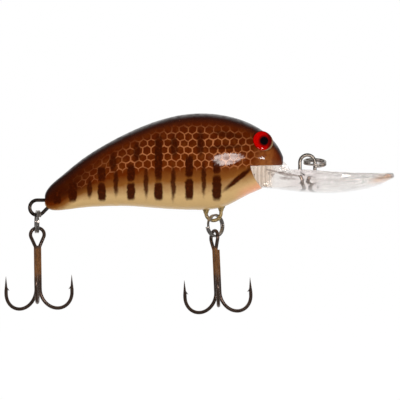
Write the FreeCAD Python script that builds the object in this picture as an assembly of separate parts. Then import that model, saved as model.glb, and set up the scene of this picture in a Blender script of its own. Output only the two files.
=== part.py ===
"""Deep diving crankbait lure, as the separate pieces it comes apart into.

Millimetres. +X runs forwards to the tip of the diving lip, +Z up to the back, and +Y to the
lure's left side. The origin is the centre of the line tie's wire eye.
"""

import FreeCAD
import Part
import math
import os

Vector = FreeCAD.Vector

# Body: a hollow two-piece shell, round at the nose and blunt at the tail
BODY_LENGTH = 54.0
BODY_HEIGHT = 21.9
BODY_WIDTH = 15.2
WALL = 1.2
LINE_TIE_AHEAD_OF_NOSE = 5.55
BELLY_BELOW_LINE_TIE = 10.75
ASSEMBLY_GAP = 0.05
SAME_PLACE = 1e-6

# Each station: share of the length from the tail, then of the height for the back and the
# belly, then of the width
STATIONS = (
    (0.000, 0.157, 0.054, 0.130),
    (0.017, 0.234, 0.008, 0.263),
    (0.067, 0.347, -0.004, 0.395),
    (0.146, 0.506, 0.020, 0.553),
    (0.250, 0.672, 0.037, 0.711),
    (0.371, 0.825, 0.037, 0.855),
    (0.500, 0.943, 0.013, 0.961),
    (0.629, 0.998, 0.000, 1.000),
    (0.750, 0.980, 0.031, 0.987),
    (0.854, 0.904, 0.159, 0.895),
    (0.933, 0.786, 0.250, 0.760),
    (0.983, 0.640, 0.378, 0.520),
    (1.000, 0.553, 0.481, 0.190),
)
CAVITY_STATIONS = STATIONS[3:11]
SIDE_LEVEL = 0.50
SECTION_FULLNESS = 0.66

# Mouth: the notch under the nose that the lip's root fills
MOUTH_DEPTH = 7.5
MOUTH_TOP_BELOW_LINE_TIE = 0.85
MOUTH_SLOPE = 0.03
CHEEK_BULGE = 0.35
CHEEK_FOOT_AHEAD_OF_CORNER = 2.9
CHEEK_FOOT_DROP = 5.2

# Diving lip: a clear spoon with a deep root
LIP_REACH = 19.7
LIP_WIDTH = 20.0
LIP_NECK_WIDTH = 7.4
LIP_UNDER_CURVE = 0.034
LIP_WIDEST_AT = 7.5
LIP_EDGE_ROUND = 0.55
LIP_SLAB_MARGIN = 2.0
LIP_UNDERSIDE_COVER = 1.0
GUSSET_WIDTH = 6.0
GUSSET_REACH = 3.6
GUSSET_SUNK = 0.4
TENON_LENGTH = 4.6
TENON_HEIGHT = 2.6
TENON_THICKNESS = 2.8
TENON_BELOW_MOUTH = 1.4
BOSS_RADIUS = 2.7
BOSS_HEIGHT = 0.55

# Each lip section: X, how far its middle lies below the line tie on top and underneath, and how
# fast the top rises from there to the rims
LIP_SECTIONS = (
    (-11.0, 1.85, 5.70, 0.070),
    (-6.0, 2.40, 6.15, 0.070),
    (-2.0, 2.95, 6.60, 0.042),
    (2.5, 3.90, 6.90, 0.031),
    (7.0, 4.50, 6.85, 0.0275),
    (11.5, 4.35, 6.30, 0.027),
    (15.5, 3.55, 5.30, 0.027),
    (18.5, 2.55, 4.05, 0.027),
    (21.0, 1.40, 2.60, 0.027),
)

# Lip outline, neck to widest place: share of the way forwards, and of the widening. Then where
# the round front is drawn through, in degrees from the widest place
LIP_FLARE = ((0.20, 0.07), (0.43, 0.46), (0.70, 0.84))
LIP_FRONT_ANGLES = (32.0, 62.0)

# Wire eyes: one gauge of wire for the line tie and both hook hangers
EYE_WIRE = 0.82
EYE_RADIUS = 1.7
EYE_LEG = 1.9
EYE_WAIST_DROP = 4.3
EYE_FOOT_DROP = 5.9
EYE_FOOT_SPREAD = 1.6
EYE_BEND_RADIUS = 0.7
BELLY_EYE_BACK = 21.3
BELLY_EYE_DROP = 1.15
TAIL_EYE_BEHIND = 1.75
TAIL_EYE_BELOW_MIDDLE = 1.8
TAIL_LEG = 9.0
TAIL_LEG_SLOPE = 45.0
TAIL_ANCHOR = 1.1

# Split rings
RING_RADIUS = 2.4
RING_WIRE = 0.47
RING_TURN_GAP = 0.03
RING_TURNS = 1.92
RING_CORNER = 0.14
RING_ENDS_TURN = -90.0

# Treble hooks
HOOK_WIRE = 0.8
HOOK_EYE_RADIUS = 1.55
HOOK_THROAT = 2.85
HOOK_THROAT_RADIUS = 1.0
HOOK_LENGTH = 16.7
HOOK_BEND_RADIUS = 4.06
HOOK_POINT_RISE = 4.0
HOOK_POINT_LENGTH = 3.4
HOOK_POINT_TIP = 0.03
HOOK_SHANK_GAP = 0.06
HOOK_BARB_REACH = 0.42
HOOK_BARB_LENGTH = 0.95
HOOK_BARB_THICKNESS = 0.34
HOOK_BARB_ROOT = 0.2
HOOK_BARB_UNDERCUT = 0.285
DOUBLE_HOOK_ANGLES = (30.0, 150.0)
SINGLE_HOOK_ANGLE = -90.0
BRAZE_LENGTH = 5.6
BRAZE_BELOW_THROAT = 0.3
BRAZE_COVER = 0.26
CUTTER_MARGIN = 1.0

# How each chain of ring and hook lies at rest: how far below the wire eye's centre, and above
# the hook eye's, the ring's wire passes, and the turns and leans in degrees
TAIL_SEATS = (0.80, 0.47)
BELLY_SEATS = (0.50, 0.32)
TAIL_RING_TURN = 8.0
TAIL_RING_LEAN = 0.0
TAIL_HOOK_TURN = 0.0
TAIL_HOOK_LEAN = -1.5
BELLY_RING_TURN = -42.0
BELLY_RING_LEAN = 8.0
BELLY_HOOK_TURN = 120.0
BELLY_HOOK_LEAN = -2.5
HOOK_TIP_FORWARD = 14.0
LINE_RING_AHEAD = 1.7
LINE_RING_ROLL = 13.0

# Painted eyes on the head
EYE_BACK = 10.15
EYE_ABOVE_BELLY = 15.6
EYE_DISC_RADIUS = 2.4
EYE_DOME = 0.62
EYE_EDGE = 0.55
EYE_SUNK = 0.45

# Ballast and rattles inside
BALLAST_RADIUS = 1.6
BALLAST_LENGTH = 6.0
BALLAST_BACK = 17.0
BALLAST_ABOVE_BELLY = 4.65
BALL_RADII = (2.0, 2.0, 2.0)
BALL_TRAVEL = 2.4
BALL_GAP = 0.15
BALL_SEAT_GAP = 0.02
BARREL_FRONT_BACK = 25.6
BARREL_ABOVE_BELLY = 3.65
BARREL_INCLINE = 3.0
BARREL_WALL = 0.8

# Bosses and pins that hold the two halves together. Pin places are X and height above the belly
PIN_RADIUS = 0.7
PIN_REACH = 1.5
PIN_BOSS_RADIUS = 1.7
PIN_PLACES = ((-14.5, 16.95), (-33.0, 15.75), (-49.0, 8.55))
LOCK_PIN_BACK = 1.54
POST_LENGTH = 5.6
POST_ABOVE_BELLY = 6.35


def half_width_slab(sign):
    """A big block on one side of the parting plane."""
    reach = 2 * (BODY_LENGTH + LIP_REACH)
    corner = Vector(-reach, 0 if sign > 0 else -reach, -reach)
    return Part.makeBox(2 * reach, reach, 2 * reach, corner)


def box_between(low, high):
    size = high - low
    return Part.makeBox(size.x, size.y, size.z, low)


def cross_cylinder(radius, x, z, y_low, y_high):
    """A cylinder that runs across the lure."""
    return Part.makeCylinder(radius, y_high - y_low, Vector(x, y_low, z), Vector(0, 1, 0))


def fused(pieces):
    return pieces[0].multiFuse(pieces[1:]).removeSplitter()


def tail_x():
    return -LINE_TIE_AHEAD_OF_NOSE - BODY_LENGTH


def above_belly(height):
    """Z of a place given by its height above the belly's lowest line."""
    return height - BELLY_BELOW_LINE_TIE


def station_at(x):
    """Back, belly and half width of the body at a place along it, between stations."""
    share = (x - tail_x()) / BODY_LENGTH
    for first, second in zip(STATIONS, STATIONS[1:]):
        if share <= second[0]:
            break
    mix = (share - first[0]) / (second[0] - first[0])
    back, belly, width = (a + (b - a) * mix for a, b in zip(first[1:], second[1:]))
    return (
        above_belly(back * BODY_HEIGHT),
        above_belly(belly * BODY_HEIGHT),
        width * BODY_WIDTH / 2,
    )


def body_section(x, inset):
    """An oval across the body, made of four quarter curves."""
    back, belly, half = station_at(x)
    back, belly, half = back - inset, belly + inset, half - inset
    side = belly + SIDE_LEVEL * (back - belly)
    edges = []
    for pole, flank in ((back, 1), (belly, 1), (belly, -1), (back, -1)):
        middle = Vector(x, 0, pole)
        widest = Vector(x, flank * half, side)
        curve = Part.BezierCurve()
        curve.setPoles([
            middle,
            middle + Vector(0, flank * half * SECTION_FULLNESS, 0),
            widest + Vector(0, 0, (pole - side) * SECTION_FULLNESS),
            widest,
        ])
        edges.append(curve.toShape())
    return Part.Wire(Part.__sortEdges__(edges))


def body_form(stations, inset):
    """The outside of the body, or its cavity when inset by the wall."""
    places = [tail_x() + row[0] * BODY_LENGTH for row in stations]
    return Part.makeLoft([body_section(x, inset) for x in places], True)


def mouth_corner():
    return Vector(-LINE_TIE_AHEAD_OF_NOSE - MOUTH_DEPTH, 0, -MOUTH_TOP_BELOW_LINE_TIE)


def mouth_region(shift):
    """What is taken out of the body for the lip's root, moved forward and down by shift."""
    corner = mouth_corner()
    foot = corner + Vector(CHEEK_FOOT_AHEAD_OF_CORNER, 0, -CHEEK_FOOT_DROP)
    middle = (corner + foot) / 2 + Vector(-CHEEK_BULGE, 0, -CHEEK_BULGE)
    reach = MOUTH_DEPTH * 2
    low = foot + Vector(CHEEK_FOOT_AHEAD_OF_CORNER, 0, -reach)
    far_low = Vector(corner.x + reach, 0, low.z)
    far_top = corner + Vector(reach, 0, reach * MOUTH_SLOPE)
    edges = [Part.Arc(corner, middle, foot).toShape()]
    for start, end in ((foot, low), (low, far_low), (far_low, far_top), (far_top, corner)):
        edges.append(Part.LineSegment(start, end).toShape())
    outline = Part.Wire(edges)
    outline.translate(Vector(shift, -BODY_WIDTH, -shift))
    return Part.Face(outline).extrude(Vector(0, 2 * BODY_WIDTH, 0))


def rounded_path(points, radii):
    """Straight runs through the points, with a tangent arc of the given radius at each turn."""
    edges = []
    last = points[0]
    for before, corner, after, radius in zip(points, points[1:], points[2:], radii):
        back = (before - corner).normalize()
        ahead = (after - corner).normalize()
        half_angle = back.getAngle(ahead) / 2
        start = corner + back * (radius / math.tan(half_angle))
        end = corner + ahead * (radius / math.tan(half_angle))
        inward = (back + ahead).normalize()
        centre = corner + inward * (radius / math.sin(half_angle))
        if (start - last).Length > SAME_PLACE:
            edges.append(Part.LineSegment(last, start).toShape())
        edges.append(Part.Arc(start, centre - inward * radius, end).toShape())
        last = end
    if (points[-1] - last).Length > SAME_PLACE:
        edges.append(Part.LineSegment(last, points[-1]).toShape())
    return Part.Wire(edges)


def round_wire(path, radius):
    """A round wire along a path."""
    first = path.Edges[0]
    start = first.valueAt(first.FirstParameter)
    along = first.tangentAt(first.FirstParameter)
    profile = Part.Wire(Part.Circle(start, along, radius).toShape())
    return path.makePipeShell([profile], True, False)


def omega_eye(radius):
    """A wire eye over two legs that draw in and then splay, so that they stay moulded in."""
    waist = radius_of_waist()
    right = [
        Vector(EYE_RADIUS, 0, -EYE_LEG),
        Vector(waist, 0, -EYE_WAIST_DROP),
        Vector(EYE_FOOT_SPREAD, 0, -EYE_FOOT_DROP),
    ]
    left = [Vector(-p.x, 0, p.z) for p in right]
    top = [Vector(-EYE_RADIUS, 0, EYE_RADIUS), Vector(EYE_RADIUS, 0, EYE_RADIUS)]
    radii = [EYE_BEND_RADIUS] * 2 + [EYE_RADIUS] * 2 + [EYE_BEND_RADIUS] * 2
    return round_wire(rounded_path(left[::-1] + top + right, radii), radius)


def radius_of_waist():
    """How far each leg of an eye lies from its middle at the waist."""
    return EYE_WIRE / 2 + 2 * ASSEMBLY_GAP


def belly_eye_centre():
    belly = station_at(-BELLY_EYE_BACK)[1]
    return Vector(-BELLY_EYE_BACK, 0, belly - BELLY_EYE_DROP)


def belly_hanger(radius):
    eye = omega_eye(radius)
    eye.rotate(Vector(0, 0, 0), Vector(0, 1, 0), 180)
    eye.translate(belly_eye_centre())
    return eye


def tail_eye_centre():
    back, belly, _ = station_at(tail_x())
    middle = (back + belly) / 2
    return Vector(tail_x() - TAIL_EYE_BEHIND, 0, middle - TAIL_EYE_BELOW_MIDDLE)


def tail_hanger(radius):
    """The tail's eye: one leg runs straight in, the other comes up to it from below."""
    upper = EYE_RADIUS
    lower = EYE_RADIUS - 2 * radius_of_waist()
    slope = math.radians(TAIL_LEG_SLOPE)
    turn = math.tan(slope / 2) * EYE_RADIUS
    join = turn + (EYE_RADIUS + lower) / math.tan(slope)
    points = [
        Vector(TAIL_LEG, 0, upper + TAIL_ANCHOR),
        Vector(TAIL_LEG, 0, upper),
        Vector(-EYE_RADIUS, 0, upper),
        Vector(-EYE_RADIUS, 0, -EYE_RADIUS),
        Vector(turn, 0, -EYE_RADIUS),
        Vector(join, 0, lower),
        Vector(TAIL_LEG - EYE_WIRE, 0, lower),
    ]
    bend = EYE_BEND_RADIUS
    path = rounded_path(points, [bend, EYE_RADIUS, EYE_RADIUS, EYE_RADIUS, bend])
    path.translate(tail_eye_centre())
    return round_wire(path, radius)


def barrel_placement():
    """Puts a shape drawn along -X from the origin into the rattle barrel."""
    start = Vector(-BARREL_FRONT_BACK, 0, above_belly(BARREL_ABOVE_BELLY))
    return FreeCAD.Placement(start, FreeCAD.Rotation(Vector(0, 1, 0), BARREL_INCLINE))


def cell_starts():
    """Distance of each rattle cell's front end from the barrel's front."""
    starts, at = [], BARREL_WALL
    for radius in BALL_RADII:
        starts.append(at)
        at += 2 * radius + BALL_TRAVEL + 2 * BALL_SEAT_GAP + BARREL_WALL
    return starts, at


def along_barrel(radius, start, length):
    rod = Part.makeCylinder(radius, length, Vector(-start, 0, 0), Vector(-1, 0, 0))
    rod.Placement = barrel_placement().multiply(rod.Placement)
    return rod


def rattle_ball(number):
    """A ball at the low, front end of its cell."""
    radius = BALL_RADII[number]
    start = cell_starts()[0][number] + radius + BALL_SEAT_GAP
    centre = Vector(-start, 0, BALL_SEAT_GAP - BALL_GAP)
    return Part.makeSphere(radius, barrel_placement().multVec(centre))


def ballast(growth):
    half = BALLAST_LENGTH / 2 + growth
    level = above_belly(BALLAST_ABOVE_BELLY)
    return cross_cylinder(BALLAST_RADIUS + growth, -BALLAST_BACK, level, -half, half)


def tenon(growth):
    """The tongue at the back of the lip's root, held between the two halves."""
    corner = mouth_corner()
    half = TENON_THICKNESS / 2 + growth
    top = corner.z - TENON_BELOW_MOUTH
    front = corner.x + CHEEK_FOOT_AHEAD_OF_CORNER
    low = Vector(front - TENON_LENGTH - growth, -half, top - TENON_HEIGHT - growth)
    high = Vector(front, half, top + growth)
    return box_between(low, high)


def pin_places():
    return [(x, above_belly(height)) for x, height in PIN_PLACES]


def lock_pin_place():
    """Where the pin through the lip's tenon crosses it."""
    box = tenon(0).BoundBox
    return box.XMin + LOCK_PIN_BACK, (box.ZMin + box.ZMax) / 2


def eye_axis(form, side):
    """Where the eye sits on the head, and which way the head faces there."""
    level = above_belly(EYE_ABOVE_BELLY)
    line = Part.LineSegment(
        Vector(-EYE_BACK, 0, level), Vector(-EYE_BACK, side * BODY_WIDTH, level)
    ).toShape()
    ends = [v.Point for v in line.common(form).Vertexes]
    spot = max(ends, key=lambda p: abs(p.y))
    outside = spot + Vector(0, side, 0)
    near = Part.Vertex(outside).distToShape(form)[1][0][1]
    return spot, (outside - near).normalize()


def eye_disc(form, side, growth):
    """A domed disc set into the head."""
    spot, out = eye_axis(form, side)
    base = spot - out * (EYE_SUNK + growth)
    disc = Part.makeCylinder(EYE_DISC_RADIUS + growth, EYE_EDGE + growth + EYE_DOME, base, out)
    dome_radius = (EYE_DISC_RADIUS ** 2 + EYE_DOME ** 2) / (2 * EYE_DOME)
    if growth:
        return disc
    centre = spot + out * (EYE_EDGE - EYE_SUNK + EYE_DOME - dome_radius)
    return disc.common(Part.makeSphere(dome_radius, centre))


def inner_bosses(form):
    """Everything moulded on the inside of the two halves."""
    barrel = along_barrel(BALL_RADII[0] + BALL_GAP + BARREL_WALL, 0, cell_starts()[1])
    weight = ballast(BARREL_WALL)
    eye = belly_eye_centre()
    wide = BODY_WIDTH / 2
    post = box_between(
        Vector(eye.x - POST_LENGTH / 2, -wide, eye.z),
        Vector(eye.x + POST_LENGTH / 2, wide, above_belly(POST_ABOVE_BELLY)),
    )
    tongue = tenon(0).BoundBox
    socket = box_between(
        Vector(tongue.XMin - WALL, -TENON_THICKNESS / 2 - 2 * WALL, tongue.ZMin - 2 * WALL),
        Vector(tongue.XMax + WALL, TENON_THICKNESS / 2 + 2 * WALL, tongue.ZMax + WALL),
    )
    bosses = [cross_cylinder(PIN_BOSS_RADIUS, x, z, -wide, wide) for x, z in pin_places()]
    return [piece.common(form) for piece in [barrel, weight, post, socket] + bosses]


def body_shell(form):
    """Both halves in one, with every pocket cut, before they are parted."""
    cavity = body_form(CAVITY_STATIONS, WALL)
    cavity = cavity.cut(mouth_region(-WALL))
    shell = fused([form.cut(cavity)] + inner_bosses(form))
    cutters = [mouth_region(0), ballast(ASSEMBLY_GAP), tenon(ASSEMBLY_GAP)]
    cutters += [belly_hanger(EYE_WIRE / 2 + ASSEMBLY_GAP), tail_hanger(EYE_WIRE / 2 + ASSEMBLY_GAP)]
    cutters += [eye_disc(form, side, ASSEMBLY_GAP) for side in (1, -1)]
    for radius, start in zip(BALL_RADII, cell_starts()[0]):
        length = 2 * radius + BALL_TRAVEL + 2 * BALL_SEAT_GAP
        cutters.append(along_barrel(radius + BALL_GAP, start, length))
    for cutter in cutters:
        shell = shell.cut(cutter)
    return shell


def body_halves(form):
    """The left half has the sockets and the right half the pins, one of them through the lip."""
    shell = body_shell(form)
    left = shell.common(half_width_slab(1))
    right = shell.common(half_width_slab(-1))
    lock_x, lock_z = lock_pin_place()
    across = TENON_THICKNESS / 2 + ASSEMBLY_GAP
    pins = [(x, z, 0) for x, z in pin_places()] + [(lock_x, lock_z, across)]
    for x, z, start in pins:
        root = start + PIN_REACH / 2
        end = start + PIN_REACH
        pin = cross_cylinder(PIN_RADIUS, x, z, -root, end)
        right = right.fuse(pin)
        gap = ASSEMBLY_GAP
        left = left.cut(cross_cylinder(PIN_RADIUS + gap, x, z, -gap, end + gap))
    return left, right


def lip_section(x, top_drop, under_drop, rise):
    """A wide slice of the spoon: hollow on top, rounder underneath."""
    half = LIP_WIDTH / 2 + LIP_SLAB_MARGIN
    top, under = -top_drop, -under_drop
    top_edge = top + rise * half ** 2
    under_edge = under + LIP_UNDER_CURVE * half ** 2
    corners = [Vector(x, -half, top_edge), Vector(x, half, top_edge),
               Vector(x, half, under_edge), Vector(x, -half, under_edge)]
    return Part.Wire([
        Part.Arc(corners[0], Vector(x, 0, top), corners[1]).toShape(),
        Part.LineSegment(corners[1], corners[2]).toShape(),
        Part.Arc(corners[2], Vector(x, 0, under), corners[3]).toShape(),
        Part.LineSegment(corners[3], corners[0]).toShape(),
    ])


def lip_plan():
    """The lip seen from above: a narrow neck that flares to a round front."""
    half, neck = LIP_WIDTH / 2, LIP_NECK_WIDTH / 2
    back = mouth_corner().x + CHEEK_FOOT_AHEAD_OF_CORNER
    front = LIP_REACH - LIP_WIDEST_AT
    flank = [Vector(back, neck, 0)]
    for way, widening in LIP_FLARE:
        x = back + (LIP_WIDEST_AT - back) * way
        flank.append(Vector(x, neck + (half - neck) * widening, 0))
    flank.append(Vector(LIP_WIDEST_AT, half, 0))
    for angle in LIP_FRONT_ANGLES:
        turn = math.radians(angle)
        flank.append(Vector(LIP_WIDEST_AT + front * math.sin(turn), half * math.cos(turn), 0))
    tip = Vector(LIP_REACH, 0, 0)
    other = [Vector(p.x, -p.y, 0) for p in reversed(flank)]
    curve = Part.BSplineCurve()
    curve.interpolate(flank + [tip] + other)
    closing = Part.LineSegment(other[-1], flank[0])
    outline = Part.Wire([curve.toShape(), closing.toShape()])
    outline.translate(Vector(0, 0, -BODY_HEIGHT))
    return Part.Face(outline).extrude(Vector(0, 0, 2 * BODY_HEIGHT))


def diving_lip(form):
    """The clear lip with its root, tenon and the boss round the line tie."""
    slab = Part.makeLoft([lip_section(*row) for row in LIP_SECTIONS], True)
    blade = slab.common(lip_plan())
    rims = [edge for edge in blade.Edges if edge.Length > LIP_WIDTH]
    blade = blade.makeFillet(LIP_EDGE_ROUND, rims)
    root = form.common(mouth_region(ASSEMBLY_GAP))
    corner = mouth_corner()
    back = corner.x + CHEEK_FOOT_AHEAD_OF_CORNER
    top = corner.z - ASSEMBLY_GAP
    nose = -LINE_TIE_AHEAD_OF_NOSE
    under = -LIP_SECTIONS[1][2] + LIP_UNDERSIDE_COVER
    gusset_outline = Part.makePolygon([
        Vector(back, 0, top),
        Vector(nose, 0, top),
        Vector(nose + GUSSET_REACH, 0, -LIP_SECTIONS[2][1] - GUSSET_SUNK),
        Vector(nose, 0, under),
        Vector(back, 0, under),
        Vector(back, 0, top),
    ])
    gusset_outline.translate(Vector(0, -GUSSET_WIDTH / 2, 0))
    gusset = Part.Face(gusset_outline).extrude(Vector(0, GUSSET_WIDTH, 0))
    boss_floor = -LIP_SECTIONS[3][2] + LIP_UNDERSIDE_COVER
    boss_top = -LIP_SECTIONS[2][1] + BOSS_HEIGHT
    boss = Part.makeCylinder(BOSS_RADIUS, boss_top - boss_floor, Vector(0, 0, boss_floor))
    lip = fused([blade, root, gusset, boss, tenon(0)])
    lock_x, lock_z = lock_pin_place()
    hole = cross_cylinder(PIN_RADIUS + ASSEMBLY_GAP, lock_x, lock_z, -LIP_WIDTH, LIP_WIDTH)
    return lip.cut(hole).cut(omega_eye(EYE_WIRE / 2))


def split_ring():
    """A flat coil of nearly two turns, round the Z axis."""
    pitch = RING_WIRE + RING_TURN_GAP
    height = pitch * RING_TURNS
    helix = Part.Wire(Part.makeHelix(pitch, height, RING_RADIUS))
    half = RING_WIRE / 2
    corner = RING_CORNER
    inner, outer = RING_RADIUS - half, RING_RADIUS + half
    points = [Vector(inner, 0, -half), Vector(outer, 0, -half),
              Vector(outer, 0, half), Vector(inner, 0, half)]
    start = Vector(RING_RADIUS, 0, -half)
    loop = [start] + points[1:] + [points[0], start]
    profile = rounded_path(loop, [corner] * 4)
    ring = helix.makePipeShell([profile], True, True)
    ring.translate(Vector(0, 0, -height / 2))
    ring.rotate(Vector(0, 0, 0), Vector(0, 0, 1), RING_ENDS_TURN)
    return ring


def hung_ring(eye_centre, seats, turn, lean):
    """A split ring hanging in a wire eye, turned about Z and leaning forwards."""
    ring = split_ring()
    ring.rotate(Vector(0, 0, 0), Vector(0, 1, 0), 90)
    ring.translate(Vector(0, 0, -seats[0] - RING_RADIUS))
    ring.rotate(Vector(0, 0, 0), Vector(0, 0, 1), turn)
    ring.rotate(Vector(0, 0, 0), Vector(0, 1, 0), -lean)
    ring.translate(eye_centre)
    return ring


def ring_centre(eye_centre, seats, lean):
    drop = seats[0] + RING_RADIUS
    angle = math.radians(lean)
    return eye_centre + Vector(drop * math.sin(angle), 0, -drop * math.cos(angle))


def shank_offset():
    """How far each of the three shanks lies from the hook's axis."""
    return HOOK_WIRE / math.sqrt(3) + HOOK_SHANK_GAP


def bend_points(angle):
    """From where the point's taper starts, round the bend, to the foot of the shank."""
    out = Vector(math.cos(math.radians(angle)), math.sin(math.radians(angle)), 0)
    shank = out * shank_offset()
    point = shank + out * (2 * HOOK_BEND_RADIUS)
    taper = -HOOK_LENGTH + HOOK_BEND_RADIUS + HOOK_POINT_RISE - HOOK_POINT_LENGTH
    bottom = Vector(0, 0, -HOOK_LENGTH)
    return out, [point + Vector(0, 0, taper), point + bottom, shank + bottom], shank


def hook_point(angle):
    """The tapered point and its barb."""
    out, path, _ = bend_points(angle)
    base = path[0]
    radius = HOOK_WIRE / 2
    cone = Part.makeCone(radius, HOOK_POINT_TIP, HOOK_POINT_LENGTH, base, Vector(0, 0, 1))
    barb = Part.Face(Part.makePolygon([
        base - out * HOOK_BARB_ROOT + Vector(0, 0, HOOK_BARB_LENGTH),
        base - out * (radius + HOOK_BARB_REACH),
        base - out * HOOK_BARB_ROOT + Vector(0, 0, HOOK_BARB_UNDERCUT),
        base - out * HOOK_BARB_ROOT + Vector(0, 0, HOOK_BARB_LENGTH),
    ]))
    across = out.cross(Vector(0, 0, 1)) * HOOK_BARB_THICKNESS
    barb.translate(across / -2)
    return [cone, barb.extrude(across)]


def double_hook():
    """Two bends and the eye, bent from one wire. The eye's centre is the origin."""
    (_, right, right_shank), (_, left, left_shank) = map(bend_points, DOUBLE_HOOK_ANGLES)
    reach = math.hypot(right_shank.x, HOOK_THROAT)
    lean = math.atan2(HOOK_THROAT, -right_shank.x) - math.asin(HOOK_EYE_RADIUS / reach)
    wide = right_shank.x + (HOOK_THROAT + HOOK_EYE_RADIUS) / math.tan(lean)
    level = right_shank.y
    eye = [
        Vector(left_shank.x, level, -HOOK_THROAT),
        Vector(-wide, level, HOOK_EYE_RADIUS),
        Vector(wide, level, HOOK_EYE_RADIUS),
        Vector(right_shank.x, level, -HOOK_THROAT),
    ]
    bend = [HOOK_BEND_RADIUS] * 2
    top = [HOOK_THROAT_RADIUS, HOOK_EYE_RADIUS, HOOK_EYE_RADIUS, HOOK_THROAT_RADIUS]
    path = rounded_path(left + eye + right[::-1], bend + top + bend)
    wire = round_wire(path, HOOK_WIRE / 2)
    points = [piece for angle in DOUBLE_HOOK_ANGLES for piece in hook_point(angle)]
    return fused([wire] + points)


def single_hook():
    """The third bend, whose straight shank is brazed between the other two."""
    _, path, shank = bend_points(SINGLE_HOOK_ANGLE)
    top = shank + Vector(0, 0, -HOOK_THROAT)
    wire = round_wire(rounded_path(path + [top], [HOOK_BEND_RADIUS] * 2), HOOK_WIRE / 2)
    return fused([wire] + hook_point(SINGLE_HOOK_ANGLE))


def braze():
    """The filler between the three shanks."""
    radius = HOOK_WIRE / 2
    shanks = [bend_points(angle)[2] for angle in (*DOUBLE_HOOK_ANGLES, SINGLE_HOOK_ANGLE)]
    spread = 1 + BRAZE_COVER / shank_offset()
    top = -HOOK_THROAT - BRAZE_BELOW_THROAT
    corners = [Vector(p.x * spread, p.y * spread, top) for p in shanks]
    filler = Part.Face(Part.makePolygon(corners + corners[:1])).extrude(Vector(0, 0, -BRAZE_LENGTH))
    length = BRAZE_LENGTH + 2 * CUTTER_MARGIN
    for shank in shanks:
        start = Vector(shank.x, shank.y, top + CUTTER_MARGIN)
        filler = filler.cut(Part.makeCylinder(radius, length, start, Vector(0, 0, -1)))
    return filler


def hung_hook(shape, ring_middle, seats, turn, lean):
    """A hook part hanging in a ring: turned about its shank, bends forward, then leaning."""
    shape.rotate(Vector(0, 0, 0), Vector(0, 0, 1), turn)
    pivot = Vector(0, 0, seats[1])
    shape.rotate(pivot, Vector(1, 0, 0), -HOOK_TIP_FORWARD)
    shape.rotate(pivot, Vector(0, 1, 0), lean)
    shape.translate(ring_middle - Vector(0, 0, RING_RADIUS + seats[1]))
    return shape


def line_ring():
    """The line tie's split ring, lying forwards through the eye."""
    ring = split_ring()
    ring.rotate(Vector(0, 0, 0), Vector(1, 0, 0), LINE_RING_ROLL)
    ring.translate(Vector(LINE_RING_AHEAD, 0, 0))
    return ring


def build():
    form = body_form(STATIONS, 0)
    left, right = body_halves(form)
    belly_eye, tail_eye = belly_eye_centre(), tail_eye_centre()
    belly_ring = ring_centre(belly_eye, BELLY_SEATS, BELLY_RING_LEAN)
    tail_ring = ring_centre(tail_eye, TAIL_SEATS, TAIL_RING_LEAN)
    nodes = {
        "left_body_half": left,
        "right_body_half": right,
        "diving_lip": diving_lip(form),
        "left_eye": eye_disc(form, 1, 0),
        "right_eye": eye_disc(form, -1, 0),
        "line_tie_wire": omega_eye(EYE_WIRE / 2),
        "line_tie_split_ring": line_ring(),
        "belly_hanger_wire": belly_hanger(EYE_WIRE / 2),
        "belly_split_ring": hung_ring(belly_eye, BELLY_SEATS, BELLY_RING_TURN, BELLY_RING_LEAN),
        "tail_hanger_wire": tail_hanger(EYE_WIRE / 2),
        "tail_split_ring": hung_ring(tail_eye, TAIL_SEATS, TAIL_RING_TURN, TAIL_RING_LEAN),
        "ballast_weight": ballast(0),
        "rattle_ball_front": rattle_ball(0),
        "rattle_ball_middle": rattle_ball(1),
        "rattle_ball_rear": rattle_ball(2),
    }
    hook_parts = (("double_hook", double_hook), ("single_hook", single_hook), ("hook_braze", braze))
    belly_rest = (belly_ring, BELLY_SEATS, BELLY_HOOK_TURN, BELLY_HOOK_LEAN)
    tail_rest = (tail_ring, TAIL_SEATS, TAIL_HOOK_TURN, TAIL_HOOK_LEAN)
    for name, make in hook_parts:
        nodes["belly_" + name] = hung_hook(make(), *belly_rest)
        nodes["tail_" + name] = hung_hook(make(), *tail_rest)
    return nodes


def main():
    os.makedirs("parts", exist_ok=True)
    for name, shape in build().items():
        shape.exportStep(os.path.join("parts", name + ".step"))
        solids = shape.Solids
        print(name, len(solids), shape.isValid(), round(sum(s.Volume for s in solids), 3))


main()
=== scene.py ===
"""A deep diving crankbait: its paint, clear lip, wire and hooks, in plain studio light."""

import bmesh
import bpy
import math
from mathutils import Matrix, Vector
from mathutils.bvhtree import BVHTree


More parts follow.
